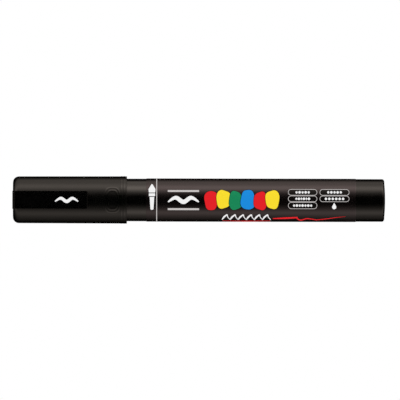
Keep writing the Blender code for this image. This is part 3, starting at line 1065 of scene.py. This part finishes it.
def red_streak():
    """A thin underline, then one long dragged brush line in three strokes."""
    strokes = (
        ([(28.2, -7.66), (36.5, -7.74), (46.0, -7.62)], [0.1, 0.28, 0.15]),
        ([(46.9, -6.75), (51.5, -6.6), (56.1, -6.35)], [0.3, 0.62, 0.5]),
        ([(55.6, -6.4), (57.1, -7.3), (59.7, -6.75), (63.3, -7.25)], [0.5, 0.4, 0.36, 0.22]),
        ([(62.9, -7.2), (66.5, -6.85), (70.5, -6.3), (73.9, -5.95)], [0.22, 0.26, 0.17, 0.05]),
    )
    return [(stroke(points, widths), RED, layer) for layer, (points, widths) in enumerate(strokes)]


def colour_tags():
    """The outlined tags in two columns, each with a row of small marks, and a drop below them."""
    columns = ((52.5, 63.3), (64.2, 75.2))
    rows = ((1.78, 4.12), (-0.58, 1.70), (-3.2, -0.66))
    line = TAG_LINE
    mark_size = 0.95
    shapes = []
    for row, (z0, z1) in enumerate(rows):
        for column, (x0, x1) in enumerate(columns):
            if row == 2 and column == 1:
                continue  # the drop stands in the last place
            shapes.append((pill(x0, x1, z0, z1), PALE, 0))
            shapes.append((pill(x0 + line, x1 - line, z0 + line, z1 - line), BLACK, 1))
            inset = 2.6 if row + column < 2 else 1.7
            beads = bead_row(x0 + inset, x1 - inset, (z0 + z1) / 2, mark_size, 5 + row % 3)
            shapes += [(bead, WHITE, 2) for bead in beads]
    return shapes + [(paint_drop(69.6, -2.5, 0.78), WHITE, 0)]


def make_ring_line(material):
    """The thin pale line that runs all round the film."""
    middle = label_low.x + 3.9
    half_width = 0.15
    foot = LABEL_RADIUS + INK_LIFT
    top = LABEL_RADIUS + 1.6 * INK_DEPTH
    corners = [
        (middle - half_width, foot),
        (middle - half_width, top),
        (middle + half_width, top),
        (middle + half_width, foot),
    ]
    piece = turned("print_ring_line", corners, material)
    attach(piece, "barrel")


def make_printing(inks):
    """All the printing on the film: generic shapes in the colours and places of the real print."""
    make_ring_line(inks[PALE])
    groups = {
        "print_brush_sign": brush_sign(),
        "print_panel": ruled_panel(),
        "print_dabs": paint_dabs(),
        "print_squiggle": zigzag(),
        "print_swoosh": red_streak(),
        "print_colour_tags": colour_tags(),
    }
    for name, shapes in groups.items():
        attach(wrapped_patch(name, shapes, inks), "barrel")


def make_clip_mark(white):
    """The small white mark on the clip, measured along it from the cap's closed end."""
    mark = [(wave_mark(15.8, 24.4, 0.0, 0.95), WHITE, 0)]
    piece = wrapped_patch(
        "print_clip_mark", mark, [white], start_x=CLIP_END_X, flat_y=CLIP_OUTER_Y
    )
    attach(piece, "clip")


# ---------------------------------------------------------------- stage, light and camera


def make_floor():
    """A white floor just under the pen, which only the camera sees, and only from above."""
    reach = 3000.0 * MM
    material, shader, nodes = new_material("pale_floor", (1.0, 1.0, 1.0))
    nodes.tree.nodes.remove(shader)
    glow = nodes.add("ShaderNodeEmission")
    clear = nodes.add("ShaderNodeBsdfTransparent")
    geometry = nodes.add("ShaderNodeNewGeometry")
    mix = nodes.add("ShaderNodeMixShader")
    nodes.link(geometry.outputs["Backfacing"], mix.inputs[0])
    nodes.link(glow.outputs[0], mix.inputs[1])
    nodes.link(clear.outputs[0], mix.inputs[2])
    nodes.link(mix.outputs[0], nodes.tree.nodes["Material Output"].inputs["Surface"])
    bm = bmesh.new()
    bmesh.ops.create_grid(bm, x_segments=1, y_segments=1, size=reach)
    mesh = bpy.data.meshes.new("floor")
    bm.to_mesh(mesh)
    bm.free()
    mesh.materials.append(material)
    floor = bpy.data.objects.new("floor", mesh)
    floor.location = (cad_bounds[0].x / 2, 0.0, cad_bounds[0].z - 0.02 * MM)
    floor.visible_glossy = False
    floor.visible_diffuse = False
    floor.visible_shadow = False
    bpy.context.scene.collection.objects.link(floor)


def soft_strip(nodes, value, centre, spread, strength):
    """A light that fades evenly to both sides of its centre."""
    offset = nodes.math("DIVIDE", nodes.math("SUBTRACT", value, centre), spread)
    fade = nodes.math("MULTIPLY", nodes.math("MULTIPLY", offset, offset), -0.5)
    return nodes.math("MULTIPLY", nodes.math("POWER", math.e, fade), strength)


def flat_panel(nodes, value, rise, fall, strength):
    """An even light between two soft edges."""
    up = nodes.smooth(value, *rise)
    down = nodes.math("SUBTRACT", 1.0, nodes.smooth(value, *fall))
    return nodes.math("MULTIPLY", nodes.math("MULTIPLY", up, down), strength)


def reflected_light(nodes):
    """How bright the studio looks in each direction, by the angle round the pen's axis.

    The angle is in degrees and is 0 straight in front of the clip. One strip light lies above the
    pen and a weaker one below it. Both fade out past the pen's two ends, where a dim glow remains.
    """
    place = nodes.add("ShaderNodeTexCoord")
    split = nodes.add("ShaderNodeSeparateXYZ")
    nodes.link(place.outputs["Generated"], split.inputs[0])
    towards_front = nodes.math("MULTIPLY", split.outputs["Y"], -1.0)
    angle = nodes.math("ARCTAN2", split.outputs["Z"], towards_front)
    above = nodes.math("MULTIPLY", angle, 180.0 / math.pi)
    below = nodes.math("MULTIPLY", above, -1.0)
    high_strip = soft_strip(nodes, above, 68.0, 12.0, 1.70)
    high_panel = flat_panel(nodes, above, (16, 72), (106, 134), 1.0)
    low_strip = soft_strip(nodes, below, 70.0, 11.0, 0.66)
    low_panel = flat_panel(nodes, below, (18, 68), (70, 138), 0.54)
    high_light = nodes.math("ADD", high_strip, high_panel)
    low_light = nodes.math("ADD", low_strip, low_panel)
    both = nodes.math("ADD", high_light, low_light)

    tail_boost = nodes.math("ADD", 1.0, soft_strip(nodes, split.outputs["X"], 0.32, 0.13, 0.45))
    along = nodes.math("ABSOLUTE", split.outputs["X"])
    end_fade = nodes.math("SUBTRACT", 1.0, nodes.smooth(along, 0.84, 1.0))
    strips = nodes.math("MULTIPLY", nodes.math("MULTIPLY", both, tail_boost), end_fade)
    glow = nodes.math("MULTIPLY", nodes.smooth(along, 0.70, 0.98), 0.34)
    facing = nodes.math("MULTIPLY_ADD", nodes.smooth(towards_front, 0.0, 0.4), 0.85, 0.15)
    return nodes.math("ADD", strips, nodes.math("MULTIPLY", glow, facing))


def make_light():
    """A plain white studio, which shows its two long warm strip lights only in reflections."""
    world = bpy.data.worlds.new("studio")
    world.use_nodes = True
    world.cycles.sampling_method = "NONE"
    bpy.context.scene.world = world
    nodes = Nodes(world.node_tree)
    rays = nodes.add("ShaderNodeLightPath")
    warm = nodes.add("ShaderNodeMix", data_type="RGBA", blend_type="MULTIPLY")
    warm.inputs["Factor"].default_value = 1.0
    nodes.link(reflected_light(nodes), warm.inputs["A"])
    warm.inputs["B"].default_value = (1.0, 0.87, 0.77, 1.0)
    seen = nodes.add("ShaderNodeMix", data_type="RGBA")
    nodes.link(rays.outputs["Is Glossy Ray"], seen.inputs["Factor"])
    seen.inputs["A"].default_value = (1.0, 1.0, 1.0, 1.0)
    nodes.link(warm.outputs["Result"], seen.inputs["B"])
    nodes.link(seen.outputs["Result"], world.node_tree.nodes["Background"].inputs["Color"])


def make_camera():
    """Square-on to the clip and the print, from far off, with the pen's faint slope."""
    view_width = 148.19 * MM
    centre = Vector((-68.57 * MM, 0.0, 0.04 * MM))
    slope = math.radians(-0.12)
    data = bpy.data.cameras.new("camera")
    data.lens = 1600.0
    distance = view_width * data.lens / data.sensor_width
    data.clip_start = 0.1
    data.clip_end = 50.0
    camera = bpy.data.objects.new("camera", data)
    camera.location = centre + Vector((0.0, -distance, 0.0))
    camera.rotation_euler = (math.radians(90.0), slope, 0.0)
    bpy.context.scene.collection.objects.link(camera)
    bpy.context.scene.camera = camera
    bpy.context.scene.view_settings.view_transform = "Standard"


# ---------------------------------------------------------------- everything together


def dress_inner_nodes():
    """Materials for the CAD pieces that stay hidden inside the pen."""
    stiff = milky_plastic("valve_plastic", (0.62, 0.63, 0.62), 0.4)
    looks = {
        "valve_seat": stiff,
        "valve_cage": stiff,
        "valve_rod": milky_plastic("rod_plastic", (0.74, 0.74, 0.72), 0.35),
        "valve_gasket": rubber(),
        "mixing_ball": steel("ball_steel", 0.12, drawn=False),
        "feed_core": fibre("core_fibre", (0.60, 0.59, 0.55), (0.80, 0.79, 0.75), 0.05),
    }
    for node, material in looks.items():
        piece = frame["nodes"][node]
        piece.data.materials.clear()
        piece.data.materials.append(material)


def main():
    make_camera()
    make_light()
    make_floor()

    warm_black = ((0.0005, 0.0005, 0.0004), (0.0010, 0.0010, 0.0008))
    # The second of these blacks is darker than the first only as painted shade, for the tail half of the
    # barrel.
    painted_shade_black = ((0.0003, 0.0003, 0.0002), (0.0007, 0.0007, 0.0005))
    green_black = ((0.0002, 0.0004, 0.0002), (0.0006, 0.0009, 0.0005))
    neutral_black = ((0.0004, 0.0004, 0.0004), (0.0007, 0.0007, 0.0007))
    charcoal = ((0.006, 0.006, 0.006), (0.009, 0.009, 0.009))
    dark_grey = ((0.04, 0.04, 0.04), (0.06, 0.06, 0.06))
    body = moulded_plastic("body_plastic", *warm_black, 0.19)
    # The tail half's plastic is a darker, less glossy copy of the body plastic: painted shade where the
    # light falls off towards the tail.
    tail = moulded_plastic("tail_plastic_painted_shade", *painted_shade_black, 0.22, gloss=0.38)
    cap = moulded_plastic("cap_plastic", *green_black, 0.27, gloss=0.315)
    polish = moulded_plastic("cap_polish", *green_black, 0.13, gloss=0.46)
    make_cap_shell([cap, polish])
    make_clip(moulded_plastic("clip_plastic", *neutral_black, 0.21))
    make_inner_cap(milky_plastic("seal_plastic", (0.72, 0.72, 0.69), 0.42))
    make_barrel([body, tail])
    make_film(printed_film())
    make_nose(moulded_plastic("nose_plastic", *charcoal, 0.35))
    make_ferrule(moulded_plastic("holder_plastic", *dark_grey, 0.38))
    make_bristles(fibre("nylon_bristles", (0.80, 0.79, 0.74), (0.96, 0.95, 0.92), 0.04))

    inks = make_inks()
    make_printing(inks)
    make_clip_mark(inks[WHITE])
    make_spring(steel("spring_wire", 0.25, drawn=True))
    dress_inner_nodes()


main()
bpy.context.view_layer.update()
